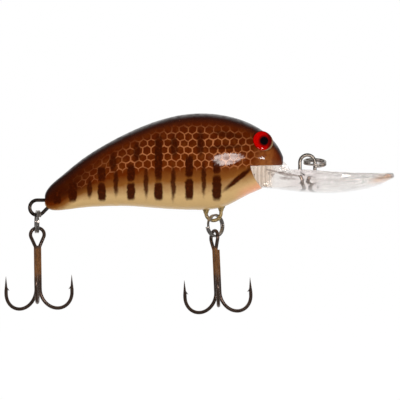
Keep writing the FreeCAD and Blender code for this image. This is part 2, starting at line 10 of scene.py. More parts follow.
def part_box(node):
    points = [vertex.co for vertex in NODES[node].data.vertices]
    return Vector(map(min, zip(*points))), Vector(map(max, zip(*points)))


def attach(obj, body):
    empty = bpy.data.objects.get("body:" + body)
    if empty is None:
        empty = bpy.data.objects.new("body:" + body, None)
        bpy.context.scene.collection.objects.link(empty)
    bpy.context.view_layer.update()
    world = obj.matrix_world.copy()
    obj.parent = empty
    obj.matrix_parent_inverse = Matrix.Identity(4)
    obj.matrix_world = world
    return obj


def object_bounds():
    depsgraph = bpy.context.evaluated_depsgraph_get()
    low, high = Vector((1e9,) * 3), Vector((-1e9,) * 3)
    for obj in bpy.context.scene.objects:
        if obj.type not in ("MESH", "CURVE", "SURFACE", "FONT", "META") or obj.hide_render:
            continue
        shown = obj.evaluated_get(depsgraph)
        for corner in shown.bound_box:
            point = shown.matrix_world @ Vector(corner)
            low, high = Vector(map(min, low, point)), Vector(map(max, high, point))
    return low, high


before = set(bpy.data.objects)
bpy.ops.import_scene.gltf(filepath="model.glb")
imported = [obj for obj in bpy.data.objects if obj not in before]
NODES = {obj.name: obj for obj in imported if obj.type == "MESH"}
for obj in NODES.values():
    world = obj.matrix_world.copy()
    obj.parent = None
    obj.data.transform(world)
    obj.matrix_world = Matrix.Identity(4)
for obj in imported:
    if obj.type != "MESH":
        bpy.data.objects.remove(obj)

CAD_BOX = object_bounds()
MM = 0.001

# Look-up rays start this far from the frame's origin, in metres, which is outside the body
RAY_START = 0.1

# The photograph's frame: its width in pixels, a pixel's size at the lure, and the line tie's place
PHOTO_WIDTH = 400
PIXEL = 0.2269 * MM
LINE_TIE_PIXEL = (307.4, 162.5)
CAMERA_DISTANCE = 0.75
CAMERA_RISE = 0.0
SENSOR_WIDTH = 36.0

# Light, in metres and watts. KEY_REFLECTS_AT and GLINT_REFLECTS_AT are places on the flank, in
# millimetres, where the lamps' reflections lie
WORLD_LEVEL = 0.66
FRONT_REFLECTION = 0.02
FRONT_THROUGH_PLASTIC = 0.9
BACK_REFLECTION = 0.9
FRONT_TO_BACK = (0.3, 1.0)
KEY_REFLECTS_AT = (-16.8, 1.5)
KEY_DISTANCE = 0.55
KEY_SIZE = (0.16, 0.125)
KEY_POWER = 0.68
KEY_COLOUR = (1.0, 0.88, 0.82)
TOP_POWER = 0.9
TOP_SIZE = (0.5, 0.5)
TOP_OFFSET = (-0.1, -0.25, 0.6)
FLOOR_REACH = 3.0
FLOOR_DROP = 0.06
FLOOR_PALE = 0.95
FLOOR_GLOW = 0.875
FLOOR_SHADE = 0.19
GLINT_REFLECTS_AT = (-10.5, 0.85)
GLINT_SIZE = (0.07, 0.045)
GLINT_POWER = 0.26


def srgb(red, green, blue):
    """A colour as it is seen, from 0 to 255, for a shader's socket."""
    def linear(level):
        share = level / 255
        return share / 12.92 if share <= 0.04045 else ((share + 0.055) / 1.055) ** 2.4
    return (linear(red), linear(green), linear(blue), 1.0)


class Shader:
    """A material's node tree, with a short call for each sum that a pattern is made of."""

    def __init__(self, name, tree=None):
        if tree is None:
            self.material = bpy.data.materials.new(name)
            self.material.use_nodes = True
            tree = self.material.node_tree
        self.tree = tree
        self.tree.nodes.clear()

    def node(self, kind, **settings):
        made = self.tree.nodes.new(kind)
        for key, value in settings.items():
            setattr(made, key, value)
        return made

    def feed(self, socket, value):
        """Links a socket to another node's output, or sets it to a number."""
        if isinstance(value, bpy.types.NodeSocket):
            self.tree.links.new(value, socket)
        elif value is not None:
            socket.default_value = value

    def sum(self, operation, first, second=None, third=None):
        made = self.node("ShaderNodeMath", operation=operation)
        for socket, value in zip(made.inputs, (first, second, third)):
            self.feed(socket, value)
        return made.outputs[0]

    def vector(self, operation, first, second=None):
        made = self.node("ShaderNodeVectorMath", operation=operation)
        self.feed(made.inputs[0], first)
        self.feed(made.inputs[1], second)
        return made.outputs["Value"] if operation == "LENGTH" else made.outputs["Vector"]

    def join(self, x, y, z=0.0):
        made = self.node("ShaderNodeCombineXYZ")
        for socket, value in zip(made.inputs, (x, y, z)):
            self.feed(socket, value)
        return made.outputs[0]

    def split(self, vector):
        made = self.node("ShaderNodeSeparateXYZ")
        self.feed(made.inputs[0], vector)
        return made.outputs

    def step(self, value, start, end, low=0.0, high=1.0):
        """A smooth step from low, where value is start, to high, where it is end."""
        made = self.node("ShaderNodeMapRange", interpolation_type="SMOOTHSTEP")
        for socket, number in zip(made.inputs, (value, start, end, low, high)):
            self.feed(socket, number)
        return made.outputs[0]

    def mix(self, share, first, second):
        """Mixes two colours. The node's colours are its inputs 6 and 7 and its output 2."""
        made = self.node("ShaderNodeMix", data_type="RGBA")
        self.feed(made.inputs["Factor"], share)
        self.feed(made.inputs[6], first)
        self.feed(made.inputs[7], second)
        return made.outputs[2]

    def ramp(self, value, stops):
        made = self.node("ShaderNodeValToRGB")
        elements = made.color_ramp.elements
        while len(elements) < len(stops):
            elements.new(0.5)
        for element, (place, colour) in zip(elements, stops):
            element.position = place
            element.color = colour
        self.feed(made.inputs[0], value)
        return made.outputs[0]

    def noise(self, vector, scale, detail=2.0):
        made = self.node("ShaderNodeTexNoise")
        self.feed(made.inputs["Vector"], vector)
        made.inputs["Scale"].default_value = scale
        made.inputs["Detail"].default_value = detail
        return made.outputs[0]

    def curve(self, value, points):
        """A smooth curve through points, each a value and what it becomes."""
        xs = [p[0] for p in points]
        ys = [p[1] for p in points]
        low, high = min(ys), max(ys)
        made = self.node("ShaderNodeFloatCurve")
        line = made.mapping.curves[0]
        while len(line.points) < len(points):
            line.points.new(0.5, 0.5)
        for point, x, y in zip(line.points, xs, ys):
            point.location = ((x - xs[0]) / (xs[-1] - xs[0]), (y - low) / (high - low))
        made.mapping.update()
        share = self.sum("DIVIDE", self.sum("SUBTRACT", value, xs[0]), xs[-1] - xs[0])
        self.feed(made.inputs["Value"], share)
        return self.sum("MULTIPLY_ADD", made.outputs[0], high - low, low)

    def place(self):
        """Where a point lies on the object, in millimetres."""
        coordinates = self.node("ShaderNodeTexCoord").outputs["Object"]
        made = self.node("ShaderNodeVectorMath", operation="SCALE")
        self.feed(made.inputs[0], coordinates)
        made.inputs["Scale"].default_value = 1 / MM
        return made.outputs["Vector"]

    def bump(self, height, distance, strength=1.0):
        made = self.node("ShaderNodeBump")
        made.inputs["Distance"].default_value = distance
        made.inputs["Strength"].default_value = strength
        self.feed(made.inputs["Height"], height)
        return made.outputs[0]

    def surface(self, **inputs):
        """The material's one shader. Each input is named with words joined by underscores."""
        made = self.node("ShaderNodeBsdfPrincipled")
        for name, value in inputs.items():
            self.feed(made.inputs[name.replace("_", " ")], value)
        output = self.node("ShaderNodeOutputMaterial")
        self.tree.links.new(made.outputs[0], output.inputs["Surface"])
        return self.material


def paint(material, *names):
    for name in names:
        mesh = NODES[name].data
        mesh.materials.clear()
        mesh.materials.append(material)


# Body paint

# Colours
CREAM = srgb(206, 172, 118)
TAN = srgb(138, 85, 34)
BROWN = srgb(98, 36, 0)
DEEP_BROWN = srgb(80, 25, 0)
BLACK_BROWN = srgb(40, 20, 15)
TAIL_BROWN = srgb(54, 14, 0)
NET_LINE = srgb(176, 110, 66)
BAR = srgb(54, 14, 0)
BAR_WORN = srgb(74, 25, 2)
SALMON = srgb(255, 176, 140)
NOSE = srgb(138, 78, 34)
NOSE_TIP = srgb(98, 36, 12)

# The ground colour by height, as a share of the way from belly to back
GROUND = ((0.00, CREAM), (0.14, CREAM), (0.30, TAN), (0.43, BROWN), (0.70, DEEP_BROWN),
          (1.00, DEEP_BROWN))
GROUND_WANDER = 0.06

# Where the paint changes, from start to end in millimetres, along the body or up it
TAIL_BROWNS_ALONG = (-51.0, -58.5)
TAIL_DARKENS_ALONG = (-45.0, -55.0)
THROAT_ALONG = (-17.5, -13.0)
THROAT_UP = (-2.5, -4.5)
SNOUT_ALONG = (-13.0, -10.0)
SNOUT_TOP = (4.6, 2.0)
SNOUT_FOOT = (-1.5, -0.5)
NOSE_TIP_ALONG = (-8.8, -6.6)
COAT_FADES_ALONG = (-6.2, -8.4)
BAND_BELOW_BACK = (2.9, 0.5)

# Scale net, in millimetres. A fade is its start and end, and the share of the line left at each
NET_PITCH = 1.86
NET_ROW = 1.54
NET_LINE_WIDTH = 0.26
NET_WARP = 1.0
NET_LOWER_EDGE = ((-59.6, -8.0), (-52.0, -6.3), (-47.0, -4.3), (-42.0, -2.4), (-33.0, -1.9),
                  (-21.0, -1.9), (-13.0, -1.3), (-5.5, -0.3))
NET_STRETCH_BY_DEPTH = (4.0, 20.0, 1.35, 1.0)
NET_FADE_AT_EDGE = (-0.4, 0.9, 0.0, 1.0)
NET_FADES_BELOW_BACK = ((1.8, 4.0, 0.0, 1.0), (2.0, 7.0, 0.35, 0.9))
NET_FADES_ALONG = ((-56.0, -50.0, 0.0, 1.0), (-8.7, -10.7, 0.0, 1.0), (-50.0, -37.0, 0.35, 1.0),
                   (-10.0, -19.0, 0.6, 1.0))

# Bars, in millimetres: place, top, bottom, width, and their ends. The round ones are fainter
SQUARE = 4
ROUND = 2
BARS = (
    (-56.7, -6.1, -9.3, 1.9, SQUARE),
    (-53.1, -4.3, -8.9, 1.9, SQUARE),
    (-46.5, -1.1, -4.3, 1.8, SQUARE),
    (-46.5, -4.6, -8.7, 1.9, SQUARE),
    (-39.9, -0.5, -4.3, 1.8, SQUARE),
    (-39.9, -4.6, -8.5, 1.9, SQUARE),
    (-33.7, 6.1, -4.2, 1.7, SQUARE),
    (-33.7, -4.5, -8.6, 1.9, SQUARE),
    (-26.8, 1.4, -3.4, 1.7, SQUARE),
    (-26.8, -3.6, -8.4, 1.9, SQUARE),
    (-20.6, 0.7, -2.6, 1.7, SQUARE),
    (-20.6, -2.9, -8.6, 2.1, SQUARE),
    (-49.3, -3.9, -8.0, 1.1, ROUND),
    (-43.3, -1.8, -7.4, 1.1, ROUND),
    (-36.5, -1.4, -7.8, 1.1, ROUND),
    (-30.4, -1.1, -8.4, 1.1, ROUND),
    (-23.5, 0.0, -7.3, 1.1, ROUND),
    (-44.0, 2.1, -1.9, 1.5, ROUND),
    (-38.6, 4.4, 0.2, 1.6, ROUND),
    (-30.2, 6.0, 1.3, 1.6, ROUND),
    (-24.3, 7.1, 1.6, 1.6, ROUND),
)
# The gill and two streaks behind the eye: centre, length, width, tilt in degrees, and strength
STREAKS = (
    ((-15.75, -3.7), 8.3, 1.15, 40.0, 1.0),
    ((-18.6, 3.4), 7.4, 1.0, 3.0, 0.75),
    ((-18.2, 6.2), 6.0, 1.3, -10.0, 0.75),
)
BAR_EDGE_WANDER = 0.3
BAR_SOFT = 0.4
BAR_STRENGTH = 0.985
ROUND_BAR_STRENGTH = 0.94


def shell_tree():
    """The outside of the body, for looking up where a line meets it."""
    points, faces = [], []
    for name in ("left_body_half", "right_body_half"):
        mesh = NODES[name].data
        start = len(points)
        points += [v.co.copy() for v in mesh.vertices]
        faces += [[start + i for i in face.vertices] for face in mesh.polygons]
    return BVHTree.FromPolygons(points, faces)


SHELL = shell_tree()

# The back and belly lines are looked up at this many places, just beside the parting line
STATION_COUNT = 15
STATION_INSET = 0.35
BESIDE_PARTING = 0.05


def body_profile(direction):
    """The back or the belly line: points along the body, in millimetres."""
    low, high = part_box("left_body_half")
    start = low[0] / MM + STATION_INSET
    end = high[0] / MM - STATION_INSET
    points = []
    for number in range(STATION_COUNT):
        x = start + (end - start) * (1 - math.cos(math.pi * number / (STATION_COUNT - 1))) / 2
        origin = Vector((x * MM, BESIDE_PARTING * MM, -direction * RAY_START))
        hit = SHELL.ray_cast(origin, Vector((0, 0, direction)))[0]
        points.append((x, hit.z / MM))
    return points


class BodyPlace:
    """Where a point lies on the body, in millimetres and between the belly and the back."""

    def __init__(self, shader):
        self.point = shader.place()
        self.x, self.y, self.z = shader.split(self.point)
        back = shader.curve(self.x, body_profile(-1))
        belly = shader.curve(self.x, body_profile(1))
        self.below_back = shader.sum("SUBTRACT", back, self.z)
        self.depth = shader.sum("SUBTRACT", back, belly)
        self.share = shader.sum("DIVIDE", shader.sum("SUBTRACT", self.z, belly), self.depth)
        self.wander = shader.sum("SUBTRACT", shader.noise(self.point, 0.9, 3.0), 0.5)


def blob(shader, flat, centre, half_height, half_width, tilt, ends, soft=BAR_SOFT):
    """A soft spot, round or nearly a box. It stands up when not tilted."""
    placed = shader.node("ShaderNodeMapping", vector_type="TEXTURE")
    placed.inputs["Location"].default_value = (centre[0], centre[1], 0)
    placed.inputs["Rotation"].default_value = (0, 0, math.radians(tilt))
    placed.inputs["Scale"].default_value = (half_width, half_height, 1)
    shader.feed(placed.inputs["Vector"], flat)
    spread = placed.outputs[0]
    if ends == SQUARE:
        spread = shader.vector("MULTIPLY", spread, spread)
    reach = shader.vector("LENGTH", spread)
    return shader.step(reach, 1 + soft, 1 - soft)


def scale_net(shader, x, height):
    """Lines between staggered six-sided cells, as a share from 0 to 1."""
    regular_row = NET_PITCH * math.sqrt(3) / 2
    across = shader.sum("DIVIDE", x, NET_PITCH)
    up = shader.sum("DIVIDE", height, 2 * NET_ROW)

    def cell(shift):
        parts = []
        for value, size in ((across, NET_PITCH), (up, 2 * regular_row)):
            moved = shader.sum("FRACT", shader.sum("ADD", value, shift))
            parts.append(shader.sum("MULTIPLY", shader.sum("SUBTRACT", moved, 0.5), size))
        return parts

    first, second = cell(0.0), cell(0.5)
    lengths = [shader.vector("LENGTH", shader.join(*parts)) for parts in (first, second)]
    nearer = shader.sum("LESS_THAN", lengths[0], lengths[1])
    chosen = []
    for one, other in zip(first, second):
        difference = shader.sum("SUBTRACT", one, other)
        chosen.append(shader.sum("ABSOLUTE", shader.sum("MULTIPLY_ADD", difference, nearer, other)))
    slanted = shader.sum("MULTIPLY_ADD", chosen[1], math.sqrt(3) / 2,
                         shader.sum("MULTIPLY", chosen[0], 0.5))
    edge = shader.sum("SUBTRACT", NET_PITCH / 2, shader.sum("MAXIMUM", chosen[0], slanted))
    return shader.step(edge, NET_LINE_WIDTH * 0.78, NET_LINE_WIDTH * 0.22)


def ground_paint(shader, at):
    """Cream below, and browner upwards and towards the tail, with soft clouds."""
    level = shader.sum("MULTIPLY_ADD", at.wander, GROUND_WANDER, at.share)
    level = shader.sum("ADD", level, shader.step(at.x, *TAIL_BROWNS_ALONG, 0.0, 0.24))
    colour = shader.ramp(level, GROUND)
    cloud = shader.sum("MULTIPLY", shader.step(at.share, 0.22, 0.42),
                       shader.step(shader.noise(at.point, 0.7, 3.0), 0.4, 0.7, 0.0, 0.35))
    colour = shader.mix(cloud, colour, shader.mix(at.share, TAN, BROWN))
    tail = shader.sum("MULTIPLY", shader.step(at.x, *TAIL_DARKENS_ALONG),
                      shader.step(at.share, 0.2, 0.45))
    return shader.mix(shader.sum("MULTIPLY", tail, 0.85), colour, TAIL_BROWN)


def net_strength(shader, at):
    """How much of the scale net's colour shows, from 0 to 1."""
    height = shader.sum("SUBTRACT", at.z, shader.curve(at.x, NET_LOWER_EDGE))
    stretched = shader.sum("MULTIPLY", height, shader.step(at.depth, *NET_STRETCH_BY_DEPTH))
    warp = [shader.sum("SUBTRACT", shader.noise(shader.vector("ADD", at.point, offset), 0.42), 0.5)
            for offset in ((0, 0, 0), (40, 0, 20))]
    net = scale_net(shader, shader.sum("MULTIPLY_ADD", warp[0], NET_WARP, at.x),
                    shader.sum("MULTIPLY_ADD", warp[1], NET_WARP, stretched))
    fades = [shader.step(height, *NET_FADE_AT_EDGE)]
    fades += [shader.step(at.below_back, *fade) for fade in NET_FADES_BELOW_BACK]
    fades += [shader.step(at.x, *fade) for fade in NET_FADES_ALONG]
    fades.append(shader.step(shader.noise(at.point, 0.55, 3.0), 0.3, 0.6, 0.6, 1.0))
    for fade in fades:
        net = shader.sum("MULTIPLY", net, fade)
    return net


def bar_strength(shader, at):
    """How much of the bars' colour shows, from 0 to 1."""
    wobble = shader.sum("SUBTRACT", shader.noise(at.point, 1.0, 1.5), 0.5)
    flat = shader.join(shader.sum("MULTIPLY_ADD", wobble, BAR_EDGE_WANDER * 2, at.x),
                       shader.sum("MULTIPLY_ADD", at.wander, BAR_EDGE_WANDER * 2, at.z))
    dark = 0.0
    for centre, top, bottom, width, ends in BARS:
        spot = blob(shader, flat, (centre, (top + bottom) / 2), (top - bottom) / 2, width / 2, 0,
                    ends)
        if ends == ROUND:
            spot = shader.sum("MULTIPLY", spot, ROUND_BAR_STRENGTH)
        dark = shader.sum("MAXIMUM", dark, spot)
    for centre, length, width, tilt, strength in STREAKS:
        spot = blob(shader, flat, centre, width / 2, length / 2, tilt, ROUND)
        dark = shader.sum("MAXIMUM", dark, shader.sum("MULTIPLY", spot, strength))
    return shader.sum("MULTIPLY", dark, BAR_STRENGTH)


def head_paint(shader, at, colour):
    """Adds salmon at the throat and the bare tan nose with its darker tip."""
    throat = shader.sum("MULTIPLY", shader.step(at.x, *THROAT_ALONG),
                        shader.step(at.share, 0.20, 0.02))
    throat = shader.sum("MULTIPLY", throat, shader.step(at.z, *THROAT_UP))
    colour = shader.mix(shader.sum("MULTIPLY", throat, 0.75), colour, SALMON)
    snout = shader.sum("MULTIPLY", shader.step(at.x, *SNOUT_ALONG), shader.step(at.z, *SNOUT_TOP))
    snout = shader.sum("MULTIPLY", snout, shader.step(at.z, *SNOUT_FOOT))
    nose = shader.mix(shader.step(at.x, *NOSE_TIP_ALONG), NOSE, NOSE_TIP)
    patches = shader.step(shader.noise(at.point, 1.1, 3.0), 0.4, 0.65, 0.0, 0.6)
    nose = shader.mix(patches, nose, NOSE_TIP)
    return shader.mix(shader.sum("MULTIPLY", snout, 0.95), colour, nose)


def body_paint():
    shader = Shader("body_paint")
    at = BodyPlace(shader)
    colour = shader.mix(net_strength(shader, at), ground_paint(shader, at), NET_LINE)
    worn = shader.step(shader.noise(at.point, 1.7, 3.0), 0.45, 0.75)
    colour = shader.mix(bar_strength(shader, at), colour, shader.mix(worn, BAR, BAR_WORN))
    colour = head_paint(shader, at, colour)
    colour = shader.mix(shader.step(at.below_back, *BAND_BELOW_BACK), colour, BLACK_BROWN)
    grain = shader.step(shader.noise(at.point, 9.0), 0.35, 0.75, 0.0, 0.10)
    colour = shader.mix(grain, colour, BLACK_BROWN)
    mottle = shader.noise(shader.join(at.x, at.y, shader.sum("MULTIPLY", at.z, 1.6)), 0.75, 3.0)
    return shader.surface(
        Base_Color=colour,
        Roughness=0.42,
        Specular_IOR_Level=0.0,
        Coat_Weight=shader.sum("MULTIPLY", shader.step(mottle, 0.3, 0.62, 0.45, 1.0),
                               shader.step(at.x, *COAT_FADES_ALONG, 0.35, 1.0)),
        Coat_Roughness=0.06,
        Normal=shader.bump(shader.noise(at.point, 0.45), 0.03 * MM, 0.5),
    )


# Eyes: a red disc with its pupil set forward and painted shade in the red towards the front, and a
# rim with a painted highlight at the front and below and painted shade behind and above, in
# millimetres
RED = srgb(206, 4, 0)
DEEP_RED = srgb(146, 0, 0)
PAINTED_SHADE_RED = srgb(58, 4, 2)
PUPIL = srgb(10, 6, 8)
RIM_SHADED = srgb(48, 26, 16)
RIM_PAINTED_HIGHLIGHT = srgb(140, 118, 88)
PUPIL_PLACE = (-9.92, 4.82)
PUPIL_RADIUS = 0.93
PUPIL_EDGE = 0.12
IRIS_PLACE = (-10.28, 4.82)
IRIS_RADIUS = 2.16


def eye_paint():
    shader = Shader("eye_paint")
    place = shader.place()
    x, _, z = shader.split(place)
    flat = shader.join(x, z)
    from_pupil = shader.vector("LENGTH", shader.vector("SUBTRACT", flat, (*PUPIL_PLACE, 0)))
    from_centre = shader.vector("LENGTH", shader.vector("SUBTRACT", flat, (*IRIS_PLACE, 0)))
    ahead = shader.sum("SUBTRACT", x, IRIS_PLACE[0])
    above = shader.sum("SUBTRACT", z, IRIS_PLACE[1])
    streak = shader.noise(place, 2.2)
    # Painted shade: the red darkens round the pupil and towards the front of the eye
    painted_shade = shader.sum("MAXIMUM", shader.step(from_pupil, 1.6, 0.9), shader.step(ahead, 0.4, 1.6))
    red = shader.mix(streak, RED, DEEP_RED)
    red = shader.mix(shader.sum("MULTIPLY", painted_shade, 0.85), red, PAINTED_SHADE_RED)
    in_pupil = shader.step(from_pupil, PUPIL_RADIUS + PUPIL_EDGE, PUPIL_RADIUS - PUPIL_EDGE)
    eye = shader.mix(in_pupil, red, PUPIL)
    # Painted light on the rim: pale at the front and below as a painted highlight, dark behind and
    # above as painted shade
    side = shader.step(shader.sum("SUBTRACT", ahead, above), -0.4, 1.2)
    rim = shader.step(from_centre, IRIS_RADIUS - 0.14, IRIS_RADIUS + 0.12)
    eye = shader.mix(rim, eye, shader.mix(side, RIM_SHADED, RIM_PAINTED_HIGHLIGHT))
    return shader.surface(Base_Color=eye, Roughness=0.25, Specular_IOR_Level=0.0, Coat_Weight=0.6,
                          Coat_Roughness=0.02, Normal=shader.bump(streak, 0.01 * MM, 0.4))


# The lip's colours
CLEAR = srgb(255, 250, 245)
CLEAR_AHEAD = srgb(255, 250, 246)
VEINED = srgb(222, 215, 212)
PAINTED_PEACH_REFLECTION = srgb(218, 170, 138)
BOSS_GREY = srgb(224, 212, 210)
ROOT_PALE = srgb(238, 216, 194)
ROOT_DARK = srgb(176, 150, 128)
ROOT_GREY = srgb(156, 142, 132)
SEAM_GREY = srgb(126, 110, 102)

# The lip, in millimetres: the painted reflection near its tip as centre, half height, half length
# and tilt, how far the wire's boss tints it, where the root starts, and the bowed ribs inside the
# root
LIP_REFLECTION_SPOT = ((16.9, -3.75), 0.85, 2.9, 12.0)
REFLECTION_SPOT_SOFT = 0.6
REFLECTION_SPOT_WANDER = 1.2
VEINS_ALONG = (4.0, 16.0)
BOSS_PLACE = -0.5
BOSS_SPREAD = (4.0, 1.5)
ROOT_ALONG = (-7.0, -9.5)
RIB_CENTRE = (-5.8, -3.4)
RIB_BOW = 0.45
RIB_RATE = 7.0
# Mould seams inside the neck, in millimetres: start, end, how far they spread and how dark they are
SEAMS = (
    ((-10.1, -1.5), (-1.4, -3.3), 0.30, 0.95),
    ((-6.2, -3.4), (-2.0, -3.9), 0.34, 0.7),
    ((-1.0, -3.7), (9.0, -4.3), 0.30, 0.3),
    ((1.0, -2.6), (12.5, -2.3), 0.16, 0.5),
)
SEAM_FADES = (1.0, 1.5)


def seam_strength(shader, x, z):
    """How dark the mould seams are at a point, from 0 to 1."""
    dark = 0.0
    for start, end, width, strength in SEAMS:
        slope = (end[1] - start[1]) / (end[0] - start[0])
        rise = shader.sum("MULTIPLY", shader.sum("SUBTRACT", x, start[0]), slope)
        off = shader.sum("SUBTRACT", shader.sum("SUBTRACT", z, start[1]), rise)
        line = shader.step(shader.sum("ABSOLUTE", off), width, width / 3)
        line = shader.sum("MULTIPLY", line, shader.step(x, start[0], start[0] + SEAM_FADES[0]))
        line = shader.sum("MULTIPLY", line, shader.step(x, end[0], end[0] - SEAM_FADES[1]))
        dark = shader.sum("MAXIMUM", dark, shader.sum("MULTIPLY", line, strength))
    return dark


def blade_tint(shader, x, z, streak):
    """Faint veins, a painted peach reflection near the tip and a greyer place at the wire's boss."""
    veined = shader.mix(shader.step(x, *VEINS_ALONG), VEINED, CLEAR_AHEAD)
    clear = shader.mix(streak, CLEAR, veined)
    wander = shader.sum("MULTIPLY", shader.sum("SUBTRACT", streak, 0.5), REFLECTION_SPOT_WANDER)
    wandering = shader.join(x, shader.sum("ADD", z, wander))
    # Painted reflection: a peach spot near the tip
    tinted = shader.mix(blob(shader, wandering, *LIP_REFLECTION_SPOT, ROUND, REFLECTION_SPOT_SOFT), clear, PAINTED_PEACH_REFLECTION)
    boss = shader.step(shader.sum("ABSOLUTE", shader.sum("SUBTRACT", x, BOSS_PLACE)), *BOSS_SPREAD)
    return shader.mix(shader.sum("MULTIPLY", boss, 0.5), tinted, BOSS_GREY)


def root_tint(shader, place, ribs):
    """The root's ribs, and grey patches where it is stuck in the mouth."""
    root = shader.mix(shader.step(ribs, 0.2, 1.0), ROOT_PALE, ROOT_DARK)
    patches = shader.step(shader.noise(place, 0.9, 3.0), 0.5, 0.7, 0.0, 0.6)
    return shader.mix(patches, root, ROOT_GREY)


def clear_plastic():
    """Clear plastic with a painted peach reflection near the tip. It bends light less than real
    plastic does.
    """
    shader = Shader("clear_plastic")
    place = shader.place()
    x, y, z = shader.split(place)
    streak = shader.noise(shader.join(shader.sum("MULTIPLY", x, 0.12), y, z), 1.6)
    at_root = shader.step(x, *ROOT_ALONG)
    bowed = shader.vector("LENGTH", shader.join(
        shader.sum("SUBTRACT", x, RIB_CENTRE[0]),
        shader.sum("MULTIPLY", shader.sum("SUBTRACT", z, RIB_CENTRE[1]), RIB_BOW)))
    ribs = shader.sum("SINE", shader.sum("MULTIPLY", bowed, RIB_RATE))
    tinted = shader.mix(shader.sum("MULTIPLY", at_root, 0.85), blade_tint(shader, x, z, streak),
                        root_tint(shader, place, ribs))
    tinted = shader.mix(seam_strength(shader, x, z), tinted, SEAM_GREY)
    height = shader.sum("MULTIPLY_ADD", shader.sum("MULTIPLY", ribs, at_root), 0.5, streak)
    return shader.surface(
        Base_Color=tinted,
        Roughness=0.03,
        IOR=1.16,
        Transmission_Weight=1.0,
        Coat_Weight=1.0,
        Coat_Roughness=0.03,
        Normal=shader.bump(height, 0.25 * MM, 0.5),
    )


def worn_metal(name, colour, worn, roughness, spread):
    """Metal whose colour and polish vary a little over the surface."""
    shader = Shader(name)
    place = shader.place()
    patch = shader.noise(place, 1.1, 3.0)
    fine = shader.noise(place, 4.0, 3.0)
    colour = shader.mix(shader.step(patch, 0.35, 0.7), colour, worn)
    return shader.surface(
        Base_Color=colour,
        Metallic=0.8,
        Roughness=shader.step(fine, 0.2, 0.8, roughness - spread, roughness + spread),
        Normal=shader.bump(fine, 0.006 * MM, 0.2),
    )


# The braze shows as a copper stain on the upper shanks, between these heights
BRAZE_TOP = -19.4
BRAZE_END = -25.8


def hook_wire():
    shader = Shader("bronzed_hook_wire")
    place = shader.place()
    z = shader.split(place)["Z"]
    patch = shader.noise(place, 0.6, 3.0)
    fine = shader.noise(place, 3.0)
    wander = shader.sum("MULTIPLY_ADD", patch, 3.0, z)
    bronze = shader.mix(patch, srgb(118, 98, 86), srgb(70, 56, 50))
    copper = shader.mix(patch, srgb(166, 114, 68), srgb(94, 58, 34))
    brazed = shader.sum("MULTIPLY", shader.step(wander, BRAZE_END, BRAZE_END + 3.0),
                        shader.step(z, BRAZE_TOP + 0.6, BRAZE_TOP - 0.4))
    return shader.surface(
        Base_Color=shader.mix(brazed, bronze, copper),
        Metallic=shader.step(brazed, 0.0, 1.0, 0.7, 0.42),
        Roughness=shader.step(fine, 0.2, 0.8, 0.18, 0.3),
        Normal=shader.bump(fine, 0.008 * MM, 0.35),
    )


def overpainted_wire():
    """The belly hanger: wire with body paint sprayed over it, paler and darker in random patches."""
    shader = Shader("overpainted_wire")
    place = shader.place()
    patch = shader.noise(place, 2.2, 4.0)
    colour = shader.mix(shader.step(patch, 0.4, 0.62), srgb(182, 158, 104), srgb(118, 98, 62))
    return shader.surface(Base_Color=colour, Metallic=0.25, Roughness=0.36, Coat_Weight=0.6,
                          Coat_Roughness=0.08, Normal=shader.bump(patch, 0.02 * MM, 0.4))


# Small forms that the solids leave out, in millimetres. The collar of paint round a leg of the
# belly hanger, as height above the belly and radius, and the low shoulder ahead of the nose
COLLAR = ((0.45, 1.0), (0.05, 0.92), (-0.2, 0.72), (-0.5, 0.6), (-0.85, 0.5), (-0.95, 0.36))
COLLAR_SIDES = 24
SHOULDER = ((-6.0, -1.7), (-6.0, 0.25), (-5.35, 0.2), (-4.5, -0.75), (-3.9, -1.7))
SHOULDER_HALF_WIDTH = 1.7
SHOULDER_EDGE = 0.16


def add_piece(name, form, material):
    """Makes an object that rides on the lure's body, from a bmesh in metres."""
    for face in form.faces:
        face.smooth = True
    mesh = bpy.data.meshes.new(name)
    form.to_mesh(mesh)
    form.free()
    mesh.materials.append(material)
    piece = bpy.data.objects.new(name, mesh)
    bpy.context.scene.collection.objects.link(piece)
    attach(piece, "lure_body")


def add_paint_collars(material):
    """One collar round each leg of the belly hanger, where the leg leaves the belly."""
    low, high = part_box("belly_hanger_wire")
    wire = high[1] - low[1]
    for number, x in enumerate((low[0] + wire / 2, high[0] - wire / 2), 1):
        beside_pocket = Vector((x, wire, -RAY_START))
        belly = SHELL.ray_cast(beside_pocket, Vector((0, 0, 1)))[0].z
        form = bmesh.new()
        rings = []
        for height, radius in COLLAR:
            ring = []
            for side in range(COLLAR_SIDES):
                angle = 2 * math.pi * side / COLLAR_SIDES
                ring.append(form.verts.new((x + radius * MM * math.cos(angle),
                                            radius * MM * math.sin(angle),
                                            belly + height * MM)))
            rings.append(ring)
        for upper, lower in zip(rings, rings[1:]):
            for side in range(COLLAR_SIDES):
                after = (side + 1) % COLLAR_SIDES
                form.faces.new((upper[side], lower[side], lower[after], upper[after]))
        form.faces.new(rings[0])
        form.faces.new(reversed(rings[-1]))
        add_piece(f"paint_collar_{number}", form, material)


def add_lip_shoulder(material):
    """A low ridge across the neck, drawn in profile and widened to both sides."""
    form = bmesh.new()
    near, far = [[form.verts.new((x * MM, y * MM, z * MM)) for x, z in SHOULDER]
                 for y in (-SHOULDER_HALF_WIDTH, SHOULDER_HALF_WIDTH)]
    form.faces.new(near)
    form.faces.new(reversed(far))
    for number in range(len(SHOULDER)):
        after = (number + 1) % len(SHOULDER)
        form.faces.new((near[number], far[number], far[after], near[after]))
    bmesh.ops.recalc_face_normals(form, faces=form.faces[:])
    bmesh.ops.bevel(form, geom=form.edges[:], offset=SHOULDER_EDGE * MM, segments=3, profile=0.5,
                    affect="EDGES")
    add_piece("lip_shoulder", form, material)


